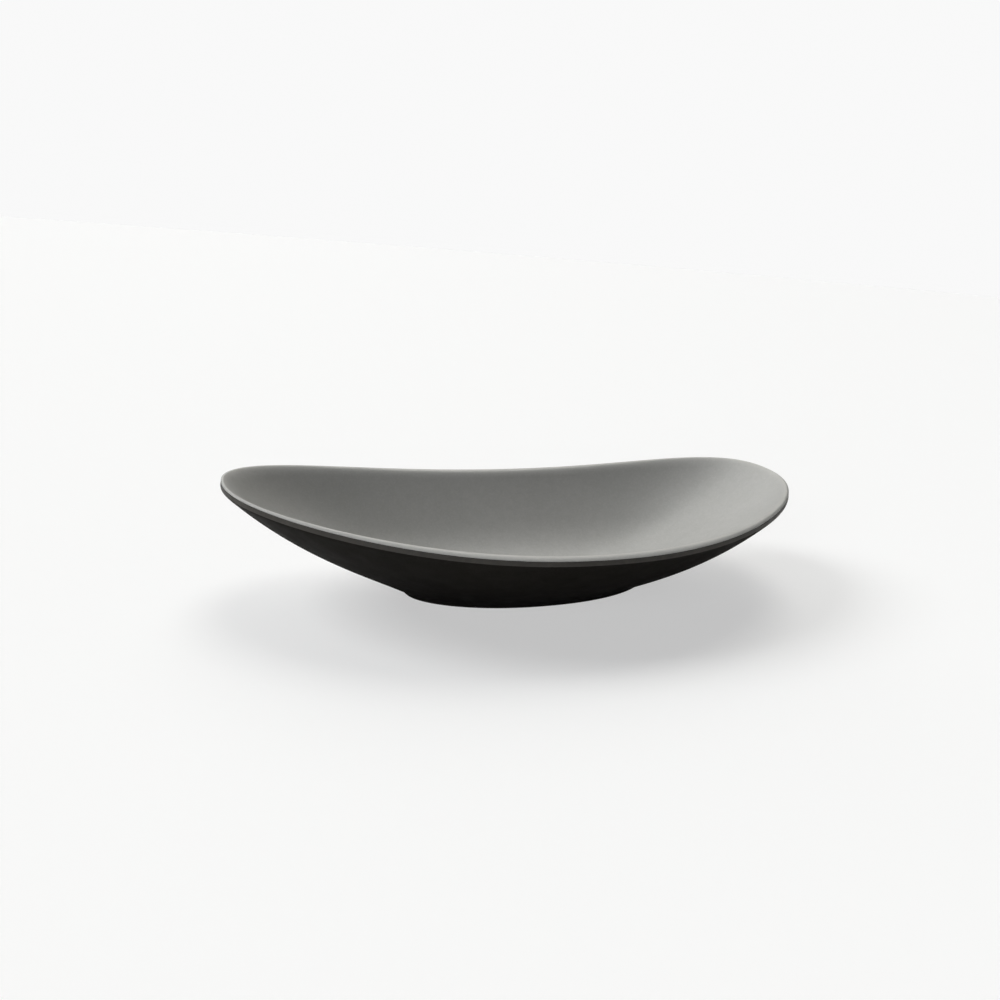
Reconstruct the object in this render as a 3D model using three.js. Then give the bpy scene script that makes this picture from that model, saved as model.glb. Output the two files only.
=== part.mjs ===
// Kidney dish: a shallow bowl with a kidney plan and swept-up ends, on a low oval foot.
//
// It is moulded in two shots, which meet face to face and come apart only on paper:
//   outer_shell  the dark shot: the lip under the rim, the underside and the foot
//   inner_shell  the grey shot: the bowl's inside, the floor and the crowned top of the rim
//
// Millimetres. +X runs along the dish, +Z is up, and the convex side faces -Y.
// The origin lies on the ground, under the middle of the dish's bounding box.

import * as THREE from "three";
import { LoftGeometry } from "three/addons/geometries/LoftGeometry.js";
import { mergeVertices } from "three/addons/utils/BufferGeometryUtils.js";

// Plan of the rim's outer edge: a slightly squared ellipse, bent along its length.
const HALF_LENGTH = 125;
const HALF_WIDTH = 60;
const SQUARENESS = 2.25; // 2 is a true ellipse
const BEND = 25; // how far the two ends lie behind the middle of the dish

// Height of the rim's outer edge, which dips at the middle of both long sides.
const RIM_AT_ENDS = 47.2;
const RIM_AT_MIDDLE = 39.7;
const RIM_EASE = 0.35; // lifts the rim between the ends and the middle

// The lip: the narrow upright band under the rim's edge.
const LIP_HEIGHT = 2.3;
const LIP_FLARE = 0.3;

// The foot: an oval ring that stands on its flat underside.
const FOOT_HALF_LENGTH = 57;
const FOOT_HALF_WIDTH = 22.5;
const FOOT_SETBACK = 10; // the foot's centre lies this far behind the bowl's middle line
const FOOT_HEIGHT = 2.5;
const FOOT_TAPER = 2.5; // the foot's side slopes in by this much
const FOOT_RING_WIDTH = 4;
const RECESS_DEPTH = 1.5;
const RECESS_TAPER = 1;

// The underside's fall from the lip to the foot: how much of it is rounded, and its skew.
const FALL_ROUND = 0.35;
const FALL_SKEW = 0.19;

// Wall and floor. Each shot takes half of the wall, less half of the seam.
const WALL_AT_TIPS = 3.5;
const WALL_AT_MIDDLE = 5.5;
const SEAM = 0.3; // clearance that keeps the two shots separate solids
const FLOOR_TOP = 7.5;
const FLOOR_ROUND = 12.5; // half the height over which the wall rounds into the floor

// The rim's top: it slopes up from the edge to a crest, then rolls over into the bowl.
// Each pair holds for the tips and for the middle of the long sides.
const CREST_INSET = [0.7, 2.3];
const CREST_RISE = [0.22, 0.8];
const CREST_HOLD = [0.05, 0.3]; // share of the roll-over that stays nearly level
const WALL_HOLD = 0.45; // share of the roll-over that keeps the wall's slope
const ROLL_END = 0.06; // where the roll-over has joined the inside wall

// Loft stations: points around each ring, and falls from the lip (0) past the foot (1).
const AROUND = 72;
const FLOOR_EDGE = 1.35; // further in, the rings would fold over themselves
const FLOOR_SETBACK = FOOT_SETBACK * FLOOR_EDGE;
const HIDDEN_FALLS = [0, 0.15, 0.4, 0.65, 0.85, 1, 1.12, 1.24, FLOOR_EDGE];
const BOWL_FALLS = [ROLL_END, 0.22, 0.42, 0.65, 0.85, 1, 1.12, 1.24, FLOOR_EDGE];
const OUTSIDE_FALLS = [0.1, 0.28, 0.5, 0.75, 1];
const ROLL_STEPS = [0.35, 0.7];
const DIFFERENCE = 1e-3; // step for the numeric tangents

// A kidney-shaped ring in plan: a superellipse whose middle line is bent into a parabola.
function kidney(t, halfLength, halfWidth, setback, z) {
  const x = halfLength * squared(Math.cos(t));
  const y = halfWidth * squared(Math.sin(t)) + setback + BEND * (x / HALF_LENGTH) ** 2;
  return new THREE.Vector3(x, y, z);
}

function squared(part) {
  return Math.sign(part) * Math.abs(part) ** (2 / SQUARENESS);
}

function rimHeight(t) {
  const mean = (RIM_AT_ENDS + RIM_AT_MIDDLE) / 2;
  const swing = (RIM_AT_ENDS - RIM_AT_MIDDLE) / 2;
  return mean + swing * Math.cos(2 * t) + RIM_EASE * (1 - Math.cos(4 * t));
}

// The ring `flare` outside the rim's edge and `drop` below it.
function rimRing(t, flare, drop) {
  const z = rimHeight(t) - drop;
  return kidney(t, HALF_LENGTH + flare, HALF_WIDTH + flare, 0, z);
}

// The foot's outline, drawn in by `inset`, at height z.
function footRing(t, inset, z) {
  return kidney(t, FOOT_HALF_LENGTH - inset, FOOT_HALF_WIDTH - inset, FOOT_SETBACK, z);
}

// The outside wall. It carries on past fall = 1, which shapes the floor over the foot.
function outsideWall(fall, t) {
  const lip = rimRing(t, LIP_FLARE, LIP_HEIGHT);
  const foot = footRing(t, 0, FOOT_HEIGHT);
  const point = lip.clone().lerp(foot, fall);
  point.z = THREE.MathUtils.lerp(lip.z, foot.z, fallShare(fall));
  return point;
}

// How much of the height is lost at a given fall: steep below the lip, then nearly straight.
function fallShare(fall) {
  const within = Math.min(fall, 1);
  const rounded = 1 - (1 - within) ** 2;
  const skew = within * (1 - within) * (1 - 2 * within);
  const straightAtFoot = 1 - FALL_ROUND + FALL_SKEW;
  const share = (1 - FALL_ROUND) * within + FALL_ROUND * rounded + FALL_SKEW * skew;
  return share + straightAtFoot * Math.max(fall - 1, 0);
}

// The wall's surface at a depth inside the outside wall, rounded into a floor at a level.
function layer(fall, t, depth, level) {
  const around = outsideWall(fall, t + DIFFERENCE).sub(outsideWall(fall, t - DIFFERENCE));
  const down = outsideWall(fall + DIFFERENCE, t).sub(outsideWall(fall - DIFFERENCE, t));
  const inward = around.cross(down).normalize();
  const point = outsideWall(fall, t).addScaledVector(inward, depth);
  point.z = roundedMax(point.z, level, FLOOR_ROUND);
  return point;
}

function wallThickness(t) {
  return THREE.MathUtils.lerp(WALL_AT_TIPS, WALL_AT_MIDDLE, Math.abs(Math.sin(t)) ** 3);
}

function bowl(fall, t) {
  return layer(fall, t, wallThickness(t), FLOOR_TOP);
}

// The hidden faces where the shots meet, half a seam to either side of the wall's middle.
function meeting(fall, t, side) {
  const level = (FLOOR_TOP + RECESS_DEPTH + side * SEAM) / 2;
  return layer(fall, t, (wallThickness(t) + side * SEAM) / 2, level);
}

function roundedMax(a, b, round) {
  const share = THREE.MathUtils.clamp(0.5 + (0.5 * (a - b)) / round, 0, 1);
  return THREE.MathUtils.lerp(b, a, share) + round * share * (1 - share);
}

// Where the rim's top is highest.
function crest(t) {
  const edge = rimRing(t, 0, 0);
  const inward = bowl(ROLL_END, t).sub(edge).setZ(0).normalize();
  const point = edge.addScaledVector(inward, forMiddle(CREST_INSET, t));
  return point.setZ(point.z + forMiddle(CREST_RISE, t));
}

function forMiddle([atTips, atMiddle], t) {
  return THREE.MathUtils.lerp(atTips, atMiddle, Math.sin(t) ** 2);
}

// The roll-over from the crest into the bowl: level at its start, then along the wall.
function rollOver(t) {
  const start = crest(t);
  const wall = bowl(ROLL_END, t);
  const slope = wall.clone().sub(bowl(ROLL_END + DIFFERENCE, t)).normalize();
  const level = wall.clone().sub(start).setZ(0).normalize();
  const reach = start.distanceTo(wall);
  const leaving = start.clone().addScaledVector(level, forMiddle(CREST_HOLD, t) * reach);
  const arriving = wall.clone().addScaledVector(slope, WALL_HOLD * reach);
  return new THREE.CubicBezierCurve3(start, leaving, arriving, wall);
}

// A ring of points around the dish, and a ring that is drawn together into one point.
// They run clockwise from above, which turns the lofted faces outwards.
const angles = Array.from({ length: AROUND }, (_, i) => (-2 * Math.PI * i) / AROUND);

function ring(pointAt) {
  return angles.map(pointAt);
}

function pole(setback, z) {
  return angles.map(() => new THREE.Vector3(0, setback, z));
}

// Lofts through rings whose first and last are poles, which gives one closed body.
function loftBetweenPoles(rings) {
  const loft = new LoftGeometry(rings);
  const bare = new THREE.BufferGeometry();
  bare.setAttribute("position", loft.getAttribute("position"));
  bare.setIndex(loft.index);
  const skin = mergeVertices(bare);
  const corners = Array.from(skin.index.array);
  const kept = [];
  for (let i = 0; i < corners.length; i += 3) {
    const triangle = corners.slice(i, i + 3);
    if (new Set(triangle).size === 3) kept.push(...triangle);
  }
  skin.setIndex(kept);
  skin.computeVertexNormals();
  return skin;
}

function meetingRings(side) {
  return HIDDEN_FALLS.map((fall) => ring((t) => meeting(fall, t, side)));
}

function innerShell() {
  return loftBetweenPoles([
    pole(FLOOR_SETBACK, FLOOR_TOP),
    ...BOWL_FALLS.toReversed().map((fall) => ring((t) => bowl(fall, t))),
    ...ROLL_STEPS.toReversed().map((step) => ring((t) => rollOver(t).getPoint(step))),
    ring(crest),
    ring((t) => rimRing(t, 0, 0)),
    ring((t) => rimRing(t, 0, SEAM)),
    ...meetingRings(1),
    pole(FLOOR_SETBACK, meeting(FLOOR_EDGE, 0, 1).z),
  ]);
}

// Lofted from below, with each ring turned round, so that where the two shots face each
// other their facets lie parallel, one seam apart.
function outerShell() {
  const ringInset = FOOT_TAPER + FOOT_RING_WIDTH;
  const rings = [
    pole(FOOT_SETBACK, RECESS_DEPTH),
    ring((t) => footRing(t, ringInset + RECESS_TAPER, RECESS_DEPTH)),
    ring((t) => footRing(t, ringInset, 0)),
    ring((t) => footRing(t, FOOT_TAPER, 0)),
    ...OUTSIDE_FALLS.toReversed().map((fall) => ring((t) => outsideWall(fall, t))),
    ring((t) => rimRing(t, LIP_FLARE, LIP_HEIGHT)),
    ring((t) => rimRing(t, 0, 2 * SEAM)),
    ...meetingRings(-1),
    pole(FLOOR_SETBACK, meeting(FLOOR_EDGE, 0, -1).z),
  ];
  return loftBetweenPoles(rings.map((points) => points.toReversed()));
}

// The two shots and their materials.
const greyMatt = new THREE.MeshStandardMaterial({ color: 0x9a9b97, roughness: 0.62, metalness: 0 });
const blackMatt = new THREE.MeshStandardMaterial({ color: 0x2b2a29, roughness: 0.55, metalness: 0 });

function shot(name, geometry, material) {
  const mesh = new THREE.Mesh(geometry, material);
  mesh.name = name;
  return mesh;
}

// The bent plan isn't centred on y = 0, so the whole dish is moved until its box is.
const edgeYs = ring((t) => rimRing(t, LIP_FLARE, LIP_HEIGHT).y);
const dish = new THREE.Group();
dish.add(shot("outer_shell", outerShell(), blackMatt));
dish.add(shot("inner_shell", innerShell(), greyMatt));
dish.position.y = -(Math.min(...edgeYs) + Math.max(...edgeYs)) / 2;

export default dish;
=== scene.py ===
import math

import bpy
import numpy as np
from mathutils import Matrix, Vector


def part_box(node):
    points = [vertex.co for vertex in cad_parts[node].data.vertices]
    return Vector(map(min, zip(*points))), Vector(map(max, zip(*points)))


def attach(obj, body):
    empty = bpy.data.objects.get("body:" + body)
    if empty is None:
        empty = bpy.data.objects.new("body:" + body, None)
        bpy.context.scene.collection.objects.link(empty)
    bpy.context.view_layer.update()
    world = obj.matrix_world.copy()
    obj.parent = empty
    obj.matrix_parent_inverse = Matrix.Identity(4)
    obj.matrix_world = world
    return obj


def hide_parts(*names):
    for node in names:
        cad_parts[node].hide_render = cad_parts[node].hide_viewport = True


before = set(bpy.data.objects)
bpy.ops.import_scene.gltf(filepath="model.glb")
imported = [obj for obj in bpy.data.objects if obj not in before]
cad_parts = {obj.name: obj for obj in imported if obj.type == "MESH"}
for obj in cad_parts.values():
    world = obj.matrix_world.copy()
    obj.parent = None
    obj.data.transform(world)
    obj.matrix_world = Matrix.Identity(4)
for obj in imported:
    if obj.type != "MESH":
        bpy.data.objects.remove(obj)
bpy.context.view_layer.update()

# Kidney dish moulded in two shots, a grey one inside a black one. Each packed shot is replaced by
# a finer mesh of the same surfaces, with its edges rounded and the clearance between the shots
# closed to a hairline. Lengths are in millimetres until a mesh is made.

MM = 0.001

# ---------------------------------------------------------------- dimensions
inner_low, inner_high = (np.array(corner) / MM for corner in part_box("inner_shell"))
outer_high = np.array(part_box("outer_shell")[1]) / MM

HALF_LENGTH = inner_high[0]
HALF_WIDTH = 60.0
MIDDLE_Y = inner_low[1] + HALF_WIDTH  # the plan's middle line at x = 0
SQUARENESS = 2.25
BEND = 25.0

# The rim's top is crowned. Each pair holds for the tips and for the middle of the long sides.
CREST_INSET = (0.7, 2.3)  # how far in from the edge the crest lies
CREST_RISE = (0.22, 0.8)  # how far above the edge it lies
CREST_HOLD = (0.05, 0.3)  # share of the roll-over into the bowl that stays nearly level
WALL_HOLD = 0.45  # share of the roll-over that keeps the wall's slope
ROLL_END = 0.06  # the fall at which the roll-over has joined the inside wall

# Height of the rim's outer edge, which dips at the middle of both long sides.
RIM_DIP = 7.5
RIM_AT_ENDS = inner_high[2] - CREST_RISE[0]
RIM_AT_MIDDLE = RIM_AT_ENDS - RIM_DIP
RIM_EASE = 0.35
LIP_HEIGHT = 2.3
LIP_FLARE = outer_high[0] - inner_high[0]

FOOT_HALF_LENGTH = 57.0
FOOT_HALF_WIDTH = 22.5
FOOT_SETBACK = 10.0
FOOT_HEIGHT = 2.5
FOOT_TAPER = 2.5
FOOT_RING_WIDTH = 4.0
RECESS_DEPTH = 1.5
RECESS_TAPER = 1.0

FALL_ROUND = 0.35
FALL_SKEW = 0.19
SEAM = 0.3
WALL_AT_TIPS = 3.5  # both shots and the clearance between them
WALL_AT_MIDDLE = 5.5
FLOOR_TOP = 7.5
FLOOR_ROUND = 12.5
FLOOR_EDGE = 1.35  # further in, the rings would fold over themselves
FLOOR_SETBACK = FOOT_SETBACK * FLOOR_EDGE

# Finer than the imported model: the rounding of each edge, and the hairline between the shots.
CREST_SLOPE = math.radians(35)  # slope from the edge up to the crest
CROWN_HOLD = 0.85  # how closely the rim's top follows that slope and the level crest
ARRIS_ROUND = 0.18
SIDE_FACE = 0.24  # the grey shot's own edge, above the hairline
HAIRLINE = 0.05
LIP_FOOT_ROUND = 0.25
FOOT_ROUND = 0.7
FOOT_FILLET = 1.0
RECESS_ROUND = 0.5
FILLET_FALL = 0.96  # where the fillet over the foot ends
UNDERSIDE_FALLS = (0.95, 0.03)  # between these the underside's rows are evenly spaced
LIP_FALL = 0.02  # where the turn into the lip begins
SEAM_MOUTH = 1.2  # how deep the hairline runs before the shots' hidden faces begin

LIP_WEAR_AND_LIGHT = 0.6  # also marks the faces that take the lip's material, whose black is painted lighter for the light the lip catches
FOOT_FILLET_WEAR = 0.2

AROUND = 480
STEP = 1e-3  # for the numeric tangents
ANGLES = -2 * np.pi * np.arange(AROUND) / AROUND


# ---------------------------------------------------------------- surfaces
def squared(part):
    return np.sign(part) * np.abs(part) ** (2 / SQUARENESS)


def kidney(t, half_length, half_width, setback, z):
    """A kidney-shaped ring: a superellipse whose middle line is bent into a parabola."""
    x = half_length * squared(np.cos(t))
    bent = BEND * (x / HALF_LENGTH) ** 2
    y = MIDDLE_Y + half_width * squared(np.sin(t)) + setback + bent
    return np.stack([x, y, np.broadcast_to(z, x.shape)], axis=-1)


def rim_height(t):
    mean = (RIM_AT_ENDS + RIM_AT_MIDDLE) / 2
    swing = (RIM_AT_ENDS - RIM_AT_MIDDLE) / 2
    return mean + swing * np.cos(2 * t) + RIM_EASE * (1 - np.cos(4 * t))


def rim_ring(t, flare, drop):
    return kidney(t, HALF_LENGTH + flare, HALF_WIDTH + flare, 0, rim_height(t) - drop)


def foot_ring(t, inset, z):
    return kidney(t, FOOT_HALF_LENGTH - inset, FOOT_HALF_WIDTH - inset, FOOT_SETBACK, z)


def fall_share(fall):
    within = min(fall, 1)
    rounded = 1 - (1 - within) ** 2
    skew = within * (1 - within) * (1 - 2 * within)
    share = (1 - FALL_ROUND) * within + FALL_ROUND * rounded + FALL_SKEW * skew
    return share + (1 - FALL_ROUND + FALL_SKEW) * max(fall - 1, 0)


def outside_wall(fall, t):
    lip = rim_ring(t, LIP_FLARE, LIP_HEIGHT)
    foot = foot_ring(t, 0, FOOT_HEIGHT)
    point = lip + fall * (foot - lip)
    point[:, 2] = lip[:, 2] + fall_share(fall) * (foot[:, 2] - lip[:, 2])
    return point


def rounded_max(a, b, width):
    share = np.clip(0.5 + 0.5 * (a - b) / width, 0, 1)
    return b + share * (a - b) + width * share * (1 - share)


def layer(fall, t, depth, level):
    """The surface at a depth inside the outside wall, rounded into a floor at that level."""
    around = outside_wall(fall, t + STEP) - outside_wall(fall, t - STEP)
    down = outside_wall(fall + STEP, t) - outside_wall(fall - STEP, t)
    point = outside_wall(fall, t) + depth * unit(np.cross(around, down))
    point[:, 2] = rounded_max(point[:, 2], level, FLOOR_ROUND)
    return point


def wall_thickness(t):
    return WALL_AT_TIPS + (WALL_AT_MIDDLE - WALL_AT_TIPS) * np.abs(np.sin(t))[:, None] ** 3


def bowl(fall, t):
    return layer(fall, t, wall_thickness(t), FLOOR_TOP)


# ---------------------------------------------------------------- rows of a loft
def between(a, b, shares):
    return [a + share * (b - a) for share in shares]


def curve(a, corner, b, shares):
    """Rows along the quadratic Bezier curve from a to b that bends towards corner."""
    return [(1 - s) ** 2 * a + 2 * s * (1 - s) * corner + s**2 * b for s in shares]


def cubic(a, leaving, arriving, b, shares):
    """Rows along the cubic Bezier curve from a to b with these two handles."""
    return [
        (1 - s) ** 3 * a + 3 * s * (1 - s) ** 2 * leaving + 3 * s**2 * (1 - s) * arriving + s**3 * b
        for s in shares
    ]


def spaced(count, first=0.0, last=1.0):
    return np.linspace(first, last, count)


def unit(vectors):
    return vectors / np.linalg.norm(vectors, axis=1, keepdims=True)


def toward(a, b, distance):
    """The ring that lies a distance from ring a on the way to ring b."""
    return a + distance * unit(b - a)


def pole(setback, z):
    return np.tile([0.0, MIDDLE_Y + setback, z], (AROUND, 1))


def grey_rows():
    """Rows of the grey shot, each with a share that lightens the grey towards the rim's crest as a
    painted highlight: floor, bowl, roll-over, rim's top, edge, hidden back.
    """
    t = ANGLES
    edge = rim_ring(t, 0, 0)
    wall = bowl(ROLL_END, t)
    up = np.array([0.0, 0.0, 1.0])
    inward = unit((wall - edge) * (1 - up))
    slope = unit(wall - bowl(ROLL_END + STEP, t))
    middle_share = np.sin(t)[:, None] ** 2
    inset, rise, hold = (
        low + (high - low) * middle_share for low, high in (CREST_INSET, CREST_RISE, CREST_HOLD)
    )
    crest = edge + inset * inward + rise * up
    crown = edge + rise / math.tan(CREST_SLOPE) * inward + rise * up
    reach = np.linalg.norm(wall - crest, axis=1, keepdims=True)
    arriving = wall + WALL_HOLD * reach * slope
    roll = cubic(wall, arriving, crest + hold * reach * inward, crest, spaced(22)[1:])
    side = rim_ring(t, 0, SIDE_FACE)
    arris_side = rim_ring(t, 0, ARRIS_ROUND)
    arris_top = toward(edge, crown, ARRIS_ROUND)
    level_end = crest + CROWN_HOLD * (crown - crest)
    slope_end = arris_top + CROWN_HOLD * (crown - arris_top)
    top = cubic(crest, level_end, slope_end, arris_top, spaced(14)[1:])
    floor_rim = bowl(FLOOR_EDGE, t)
    middle = pole(FLOOR_SETBACK, FLOOR_TOP)
    hidden_level = RECESS_DEPTH + (FLOOR_TOP - RECESS_DEPTH - SEAM) / 2 + SEAM
    hidden = [
        layer(fall, t, (wall_thickness(t) + SEAM) / 2, hidden_level)
        for fall in spaced(14, 0, FLOOR_EDGE)
    ]
    return [
        *[(row, 0) for row in between(middle, floor_rim, [0, 0.2, 0.4, 0.6, 0.8])],
        *[(bowl(fall, t), 0) for fall in spaced(80, FLOOR_EDGE, ROLL_END)],
        # The shares on the roll-over and the rim's top peak at the crest, where they paint a
        # highlight into the grey.
        *zip(roll, np.clip(spaced(len(roll)) * 1.6 - 0.6, 0, 1)),
        *zip(top, np.clip(spaced(len(top), 1, -1.2), 0, 1)),
        *[(row, 0) for row in curve(arris_top, edge, arris_side, spaced(6)[1:])],
        *[(row, 0) for row in between(arris_side, side, [0.5, 0.9, 1])],
        *[(row, 0) for row in between(side, toward(side, hidden[0], SEAM_MOUTH), [0.1, 1])],
        *[(row, 0) for row in hidden],
        (pole(FLOOR_SETBACK, hidden_level), 0),
    ]


def black_rows():
    """Rows of the black shot, each with a share for rubbing on the foot and a mark for the lip's
    painted light: recess, foot, underside, lip, hidden front.
    """
    t = ANGLES
    ring_inset = FOOT_TAPER + FOOT_RING_WIDTH
    recess = foot_ring(t, ring_inset + RECESS_TAPER, RECESS_DEPTH)
    ring_inner = foot_ring(t, ring_inset, 0)
    ring_outer = foot_ring(t, FOOT_TAPER, 0)
    foot_top = outside_wall(1, t)
    above_foot = outside_wall(FILLET_FALL, t)
    fillet_low = toward(foot_top, ring_outer, FOOT_FILLET)
    recess_in = toward(recess, pole(FOOT_SETBACK, RECESS_DEPTH), RECESS_ROUND)
    recess_out = toward(recess, ring_inner, RECESS_ROUND)
    below_lip = outside_wall(LIP_FALL, t)
    lip_low = rim_ring(t, LIP_FLARE, LIP_HEIGHT)
    lip_top = rim_ring(t, 0, SIDE_FACE + HAIRLINE)
    lip_turn = toward(lip_low, lip_top, LIP_FOOT_ROUND)
    hidden_level = RECESS_DEPTH + (FLOOR_TOP - RECESS_DEPTH - SEAM) / 2
    hidden = [
        layer(fall, t, (wall_thickness(t) - SEAM) / 2, hidden_level)
        for fall in spaced(14, 0, FLOOR_EDGE)
    ]
    rows = [
        *[(row, 0) for row in between(pole(FOOT_SETBACK, RECESS_DEPTH), recess_in, spaced(5))],
        *[(row, 0) for row in curve(recess_in, recess, recess_out, spaced(5)[1:])],
        *[(row, 1) for row in curve(
            toward(ring_inner, recess, RECESS_ROUND), ring_inner,
            toward(ring_inner, ring_outer, RECESS_ROUND), spaced(5))],
        *[(row, 1) for row in curve(
            toward(ring_outer, ring_inner, FOOT_ROUND), ring_outer,
            toward(ring_outer, foot_top, FOOT_ROUND), spaced(6))],
        *[(row, FOOT_FILLET_WEAR) for row in curve(fillet_low, foot_top, above_foot, spaced(9))],
        *[(outside_wall(fall, t), 0) for fall in spaced(60, *UNDERSIDE_FALLS)],
        *[(row, 0) for row in curve(below_lip, lip_low, lip_turn, spaced(7)[:-1])],
        *[(row, LIP_WEAR_AND_LIGHT) for row in between(lip_turn, lip_top, [0, 0.3, 0.6, 0.9, 1])],
        *[(row, 0) for row in between(lip_top, toward(lip_top, hidden[0], SEAM_MOUTH), [0.1, 1])],
        *[(row, 0) for row in hidden],
        (pole(FLOOR_SETBACK, hidden_level), 0),
    ]
    return [(row[::-1], wear_and_painted_light) for row, wear_and_painted_light in rows]


def loft(name, rows, stands_for, materials, finish_of_row):
    """One closed mesh through rows of points, the first and last of which are single points.

    finish_of_row says which of the materials the faces above a row take, by the row's share of
    rubbing and painted light.
    """
    first, last = rows[0][0][0], rows[-1][0][0]
    rings = [row for row, _ in rows[1:-1]]
    points = np.concatenate([first[None], *rings, last[None]])
    i = np.arange(AROUND)
    after = (i + 1) % AROUND
    quads = []
    for k in range(len(rings) - 1):
        here, there = 1 + k * AROUND, 1 + (k + 1) * AROUND
        quads.append(np.stack([here + i, here + after, there + after, there + i], axis=1))
    end = 1 + (len(rings) - 1) * AROUND
    fan = np.stack([np.zeros_like(i), 1 + after, 1 + i], axis=1)
    closing = np.stack([np.full_like(i, len(points) - 1), end + i, end + after], axis=1)
    faces = [*fan.tolist(), *np.concatenate(quads).tolist(), *closing.tolist()]
    mesh = bpy.data.meshes.new(name)
    mesh.from_pydata((points * MM).tolist(), [], faces)
    mesh.update()
    mesh.polygons.foreach_set("use_smooth", [True] * len(mesh.polygons))
    wear_and_painted_light = mesh.attributes.new("wear_and_painted_light", "FLOAT", "POINT")
    wear_and_light_share = np.repeat([amount for _, amount in rows[1:-1]], AROUND)
    wear_and_painted_light.data.foreach_set("value", np.concatenate([[0], wear_and_light_share, [0]]).astype(np.float32))
    for material in materials:
        mesh.materials.append(material)
    finish = [finish_of_row(min(low[1], high[1])) for low, high in zip(rows[:-1], rows[1:])]
    mesh.polygons.foreach_set("material_index", np.repeat(finish, AROUND))
    piece = bpy.data.objects.new(name, mesh)
    bpy.context.scene.collection.objects.link(piece)
    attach(piece, "root")
    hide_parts(stands_for)
    return piece


# ---------------------------------------------------------------- materials
class Nodes:
    """Makes nodes in one material and links them."""

    def __init__(self, name):
        self.material = bpy.data.materials.new(name)
        self.material.use_nodes = True
        self.tree = self.material.node_tree
        self.shader = self.tree.nodes["Principled BSDF"]
        self.place = self.make("ShaderNodeTexCoord").outputs["Object"]

    def make(self, kind, **settings):
        node = self.tree.nodes.new(kind)
        for key, value in settings.items():
            setattr(node, key, value)
        return node

    def feed(self, value, socket):
        if isinstance(value, bpy.types.NodeSocket):
            self.tree.links.new(value, socket)
        else:
            socket.default_value = value

    def noise(self, size, detail=3.0, roughness=0.5):
        """Noise from 0 to 1 whose features are about size millimetres wide."""
        node = self.make("ShaderNodeTexNoise")
        self.feed(self.place, node.inputs["Vector"])
        node.inputs["Scale"].default_value = 1 / (size * MM)
        node.inputs["Detail"].default_value = detail
        node.inputs["Roughness"].default_value = roughness
        return node.outputs["Fac"]

    def specks(self, spacing, radius, share):
        """1 in small round specks, which only a share of the cells hold."""
        cells = self.make("ShaderNodeTexVoronoi")
        self.feed(self.place, cells.inputs["Vector"])
        cells.inputs["Scale"].default_value = 1 / (spacing * MM)
        near = self.ramp(cells.outputs["Distance"], 0.6 * radius / spacing, radius / spacing, 1, 0)
        pick = self.make("ShaderNodeSeparateColor")
        self.feed(cells.outputs["Color"], pick.inputs["Color"])
        chosen = self.ramp(pick.outputs["Red"], 1 - share, 1 - share + 0.01, 0, 1)
        return self.math("MULTIPLY", near, chosen)

    def ramp(self, value, low, high, at_low, at_high):
        node = self.make("ShaderNodeMapRange", clamp=True)
        self.feed(value, node.inputs["Value"])
        ends = {"From Min": low, "From Max": high, "To Min": at_low, "To Max": at_high}
        for socket, number in ends.items():
            node.inputs[socket].default_value = number
        return node.outputs["Result"]

    def math(self, operation, a, b):
        node = self.make("ShaderNodeMath", operation=operation)
        self.feed(a, node.inputs[0])
        self.feed(b, node.inputs[1])
        return node.outputs["Value"]

    def mix(self, factor, a, b):
        node = self.make("ShaderNodeMix", data_type="RGBA")
        self.feed(factor, node.inputs["Factor"])
        self.feed(a, node.inputs[6])
        self.feed(b, node.inputs[7])
        return node.outputs[2]

    def attribute(self, name):
        return self.make("ShaderNodeAttribute", attribute_name=name).outputs["Fac"]

    def bump(self, height, distance, strength, under=None):
        node = self.make("ShaderNodeBump")
        self.feed(height, node.inputs["Height"])
        node.inputs["Distance"].default_value = distance * MM
        node.inputs["Strength"].default_value = strength
        if under is not None:
            self.feed(under, node.inputs["Normal"])
        return node.outputs["Normal"]


def grey_material():
    n = Nodes("grey_matt")
    cloud = n.ramp(n.noise(38, 4, 0.55), 0.3, 0.7, 0, 1)
    colour = n.mix(cloud, (0.385, 0.387, 0.372, 1), (0.415, 0.413, 0.398, 1))
    mottle = n.ramp(n.noise(3.2, 4, 0.65), 0.38, 0.62, 0, 0.6)
    colour = n.mix(mottle, colour, (0.37, 0.367, 0.352, 1))
    grain = n.ramp(n.noise(0.9, 2, 0.6), 0.45, 0.75, 0, 0.45)
    colour = n.mix(grain, colour, (0.47, 0.465, 0.45, 1))
    specks = n.math("MULTIPLY", n.specks(9, 0.55, 0.16), 0.45)
    colour = n.mix(specks, colour, (0.14, 0.135, 0.125, 1))
    # Painted highlight: the grey lightens towards the rim's crest by the share in the mesh. The same
    # share lowers the roughness there, as rubbing would.
    wear_and_light_share = n.math("MULTIPLY", n.attribute("wear_and_painted_light"), n.ramp(n.noise(9, 4, 0.6), 0.3, 0.7, 0.45, 0.95))
    colour = n.mix(wear_and_light_share, colour, (0.5, 0.49, 0.465, 1))
    n.feed(colour, n.shader.inputs["Base Color"])
    rough = n.ramp(n.noise(14, 4, 0.6), 0.3, 0.7, 0.42, 0.54)
    n.feed(n.math("SUBTRACT", rough, n.math("MULTIPLY", wear_and_light_share, 0.08)), n.shader.inputs["Roughness"])
    peel = n.bump(n.noise(2.2, 2, 0.5), 0.02, 0.5)
    n.feed(n.bump(n.noise(0.5, 2, 0.5), 0.006, 0.5, peel), n.shader.inputs["Normal"])
    n.shader.inputs["Specular IOR Level"].default_value = 0.5
    return n.material


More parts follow.
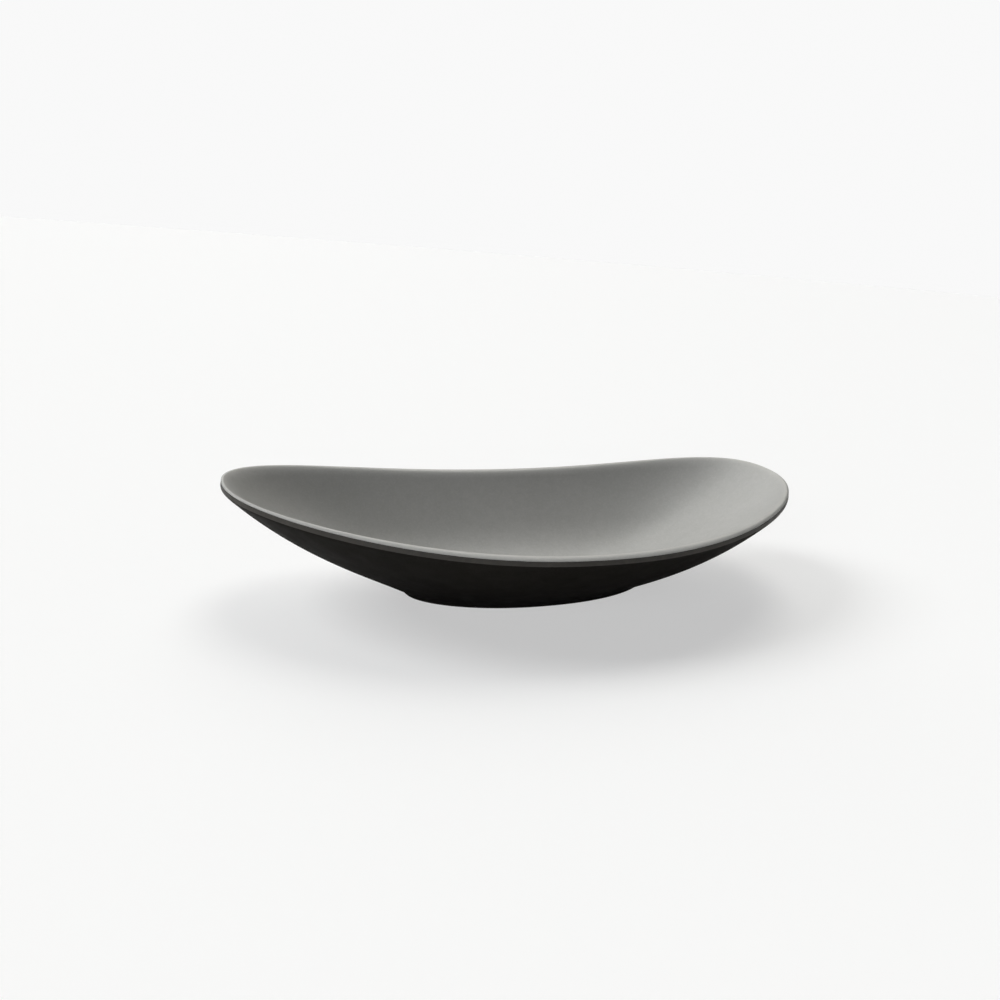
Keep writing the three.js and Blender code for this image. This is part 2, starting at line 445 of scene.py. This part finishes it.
def black_material():
    """The underside and the foot: a dull, finely grained black."""
    n = Nodes("black_matt")
    cloud = n.ramp(n.noise(30, 4, 0.55), 0.3, 0.7, 0, 1)
    colour = n.mix(cloud, (0.0092, 0.0081, 0.0069, 1), (0.0127, 0.0112, 0.0096, 1))
    grain = n.ramp(n.noise(0.8, 2, 0.5), 0.45, 0.8, 0, 0.5)
    colour = n.mix(grain, colour, (0.0185, 0.0168, 0.0148, 1))
    wear_and_light_share = n.math("MULTIPLY", n.attribute("wear_and_painted_light"), n.ramp(n.noise(6, 5, 0.65), 0.35, 0.7, 0.3, 0.9))
    colour = n.mix(wear_and_light_share, colour, (0.045, 0.043, 0.04, 1))
    n.feed(colour, n.shader.inputs["Base Color"])
    n.feed(n.ramp(n.noise(11, 4, 0.6), 0.3, 0.7, 0.6, 0.74), n.shader.inputs["Roughness"])
    peel = n.bump(n.noise(2.0, 2, 0.5), 0.02, 0.5)
    n.feed(n.bump(n.noise(0.5, 2, 0.5), 0.008, 0.7, peel), n.shader.inputs["Normal"])
    n.shader.inputs["Specular IOR Level"].default_value = 0.05
    return n.material


def painted_light_lip_material():
    """The lip: the same black, rubbed smoother by hands and painted lighter for the light and sheen
    it catches, with lighter rub marks in patches.
    """
    n = Nodes("black_lip_painted_light")
    cloud = n.ramp(n.noise(14, 4, 0.6), 0.3, 0.7, 0, 1)
    # Painted light: the lip's black is several times lighter than the underside's, standing in for
    # the light and sheen that the upright lip catches.
    colour = n.mix(cloud, (0.046, 0.0425, 0.038, 1), (0.059, 0.0545, 0.049, 1))
    rubs = n.ramp(n.noise(2.5, 4, 0.65), 0.5, 0.75, 0, 0.6)
    colour = n.mix(rubs, colour, (0.074, 0.0685, 0.061, 1))
    n.feed(colour, n.shader.inputs["Base Color"])
    n.feed(n.ramp(n.noise(8, 4, 0.6), 0.3, 0.7, 0.42, 0.56), n.shader.inputs["Roughness"])
    n.feed(n.bump(n.noise(1.6, 3, 0.5), 0.012, 0.5), n.shader.inputs["Normal"])
    n.shader.inputs["Specular IOR Level"].default_value = 0.22
    return n.material


def plain_material(name, colour, glow=0.0):
    n = Nodes(name)
    n.shader.inputs["Base Color"].default_value = (*colour, 1)
    n.shader.inputs["Emission Color"].default_value = (1, 1, 1, 1)
    n.shader.inputs["Emission Strength"].default_value = glow
    n.shader.inputs["Roughness"].default_value = 0.9
    n.shader.inputs["Specular IOR Level"].default_value = 0.1
    return n.material


loft("bowl_inner", grey_rows(), "inner_shell", [grey_material()], lambda wear_and_painted_light: 0)
loft("bowl_outer", black_rows(), "outer_shell",
     [black_material(), painted_light_lip_material()], lambda wear_and_painted_light: int(wear_and_painted_light == LIP_WEAR_AND_LIGHT))


# ---------------------------------------------------------------- stage, light and camera
STAGE_RADIUS = 6.0  # metres, like everything in this section
BOUNCE_FLOOR_LEVEL = -0.0005


def disc(name, height, material):
    mesh = bpy.data.meshes.new(name)
    angles = np.linspace(0, 2 * math.pi, 97)[:-1]
    ring = [(STAGE_RADIUS * math.cos(a), STAGE_RADIUS * math.sin(a), height) for a in angles]
    mesh.from_pydata(ring, [], [list(range(len(ring)))])
    mesh.materials.append(material)
    made = bpy.data.objects.new(name, mesh)
    bpy.context.scene.collection.objects.link(made)
    return made


# The floor that is seen is lit from below, which pales the shadow; the one under it, which isn't
# seen, sends the dish the light that plain white paper would.
seen_floor = disc("floor", 0, plain_material("floor_paper", (0.5, 0.5, 0.5), 0.5))
seen_floor.visible_diffuse = False
seen_floor.visible_glossy = False
seen_floor.visible_shadow = False
white_paper = plain_material("white_paper", (0.93, 0.93, 0.925))
bounce_floor = disc("floor_bounce", BOUNCE_FLOOR_LEVEL, white_paper)
bounce_floor.visible_camera = False

# The backdrop is seen by the camera alone, so it pales the horizon and lights nothing.
glow = bpy.data.materials.new("backdrop_glow")
glow.use_nodes = True
glow.node_tree.nodes.clear()
emission = glow.node_tree.nodes.new("ShaderNodeEmission")
emission.inputs["Color"].default_value = (0.945, 0.945, 0.945, 1)
surface = glow.node_tree.nodes.new("ShaderNodeOutputMaterial")
glow.node_tree.links.new(emission.outputs["Emission"], surface.inputs["Surface"])
bpy.ops.mesh.primitive_uv_sphere_add(segments=48, ring_count=24, radius=STAGE_RADIUS * 0.98)
backdrop = bpy.context.object
backdrop.name = "backdrop"
backdrop.data.materials.append(glow)
backdrop.visible_diffuse = False
backdrop.visible_glossy = False
backdrop.visible_transmission = False
backdrop.visible_shadow = False

# Soft lights: where each shines from, its strength, its spread in degrees and its colour.
LIGHTS = {
    "key": ((-0.69, 0.28, 0.67), 1.66, 30, (0.99, 1.0, 1.0)),
    "top": ((0.21, 0.37, 0.91), 0.92, 30, (1.0, 0.99, 0.95)),
    "back_right": ((0.28, 0.69, 0.67), 0.46, 30, (1.0, 0.99, 0.95)),
    "back_left": ((-0.28, 0.69, 0.67), 0.24, 30, (1.0, 1.0, 0.98)),
    "back_low": ((0.0, 0.95, 0.31), 0.32, 30, (1.0, 1.0, 0.98)),
    "fill": ((-0.67, -0.67, 0.31), 0.68, 30, (0.98, 0.99, 1.02)),
}
for name, (shines_from, energy, spread, colour) in LIGHTS.items():
    sun = bpy.data.lights.new(name, "SUN")
    sun.energy = energy
    sun.angle = math.radians(spread)
    sun.color = colour
    lamp = bpy.data.objects.new(name, sun)
    lamp.rotation_mode = "QUATERNION"
    lamp.rotation_quaternion = Vector(shines_from).to_track_quat("Z", "Y")
    bpy.context.scene.collection.objects.link(lamp)

world = bpy.data.worlds.new("room")
world.use_nodes = True
world.node_tree.nodes["Background"].inputs["Color"].default_value = (0.9, 0.95, 1.0, 1)
world.node_tree.nodes["Background"].inputs["Strength"].default_value = 0.02
bpy.context.scene.world = world

CAMERA_TARGET = Vector((0, MIDDLE_Y + 12.5, 20.0)) * MM
CAMERA_DISTANCE = 380 * MM
CAMERA_AZIMUTH = math.radians(-22.9)
CAMERA_ELEVATION = math.radians(19.3)
CAMERA_ROLL = math.radians(4.73)
SENSOR_WIDTH = 36  # in millimetres, like the focal length
FOCAL_LENGTH = 31.74
CAMERA_SHIFT = (-0.032, 0.043)
CLIP_START = 0.01
back = Vector((
    math.sin(CAMERA_AZIMUTH) * math.cos(CAMERA_ELEVATION),
    -math.cos(CAMERA_AZIMUTH) * math.cos(CAMERA_ELEVATION),
    math.sin(CAMERA_ELEVATION),
))
level_right = Vector((0, 0, 1)).cross(back).normalized()
level_up = back.cross(level_right)
right = level_right * math.cos(CAMERA_ROLL) + level_up * math.sin(CAMERA_ROLL)
up = level_up * math.cos(CAMERA_ROLL) - level_right * math.sin(CAMERA_ROLL)
lens = bpy.data.cameras.new("camera")
lens.sensor_width = SENSOR_WIDTH
lens.lens = FOCAL_LENGTH
lens.shift_x, lens.shift_y = CAMERA_SHIFT
lens.clip_start = CLIP_START
camera = bpy.data.objects.new("camera", lens)
camera.matrix_world = Matrix.Translation(CAMERA_TARGET + back * CAMERA_DISTANCE) @ Matrix(
    (right, up, back)
).transposed().to_4x4()
bpy.context.scene.collection.objects.link(camera)
bpy.context.scene.camera = camera
bpy.context.scene.view_settings.view_transform = "Standard"

# ---------------------------------------------------------------- last update of the scene
bpy.context.view_layer.update()
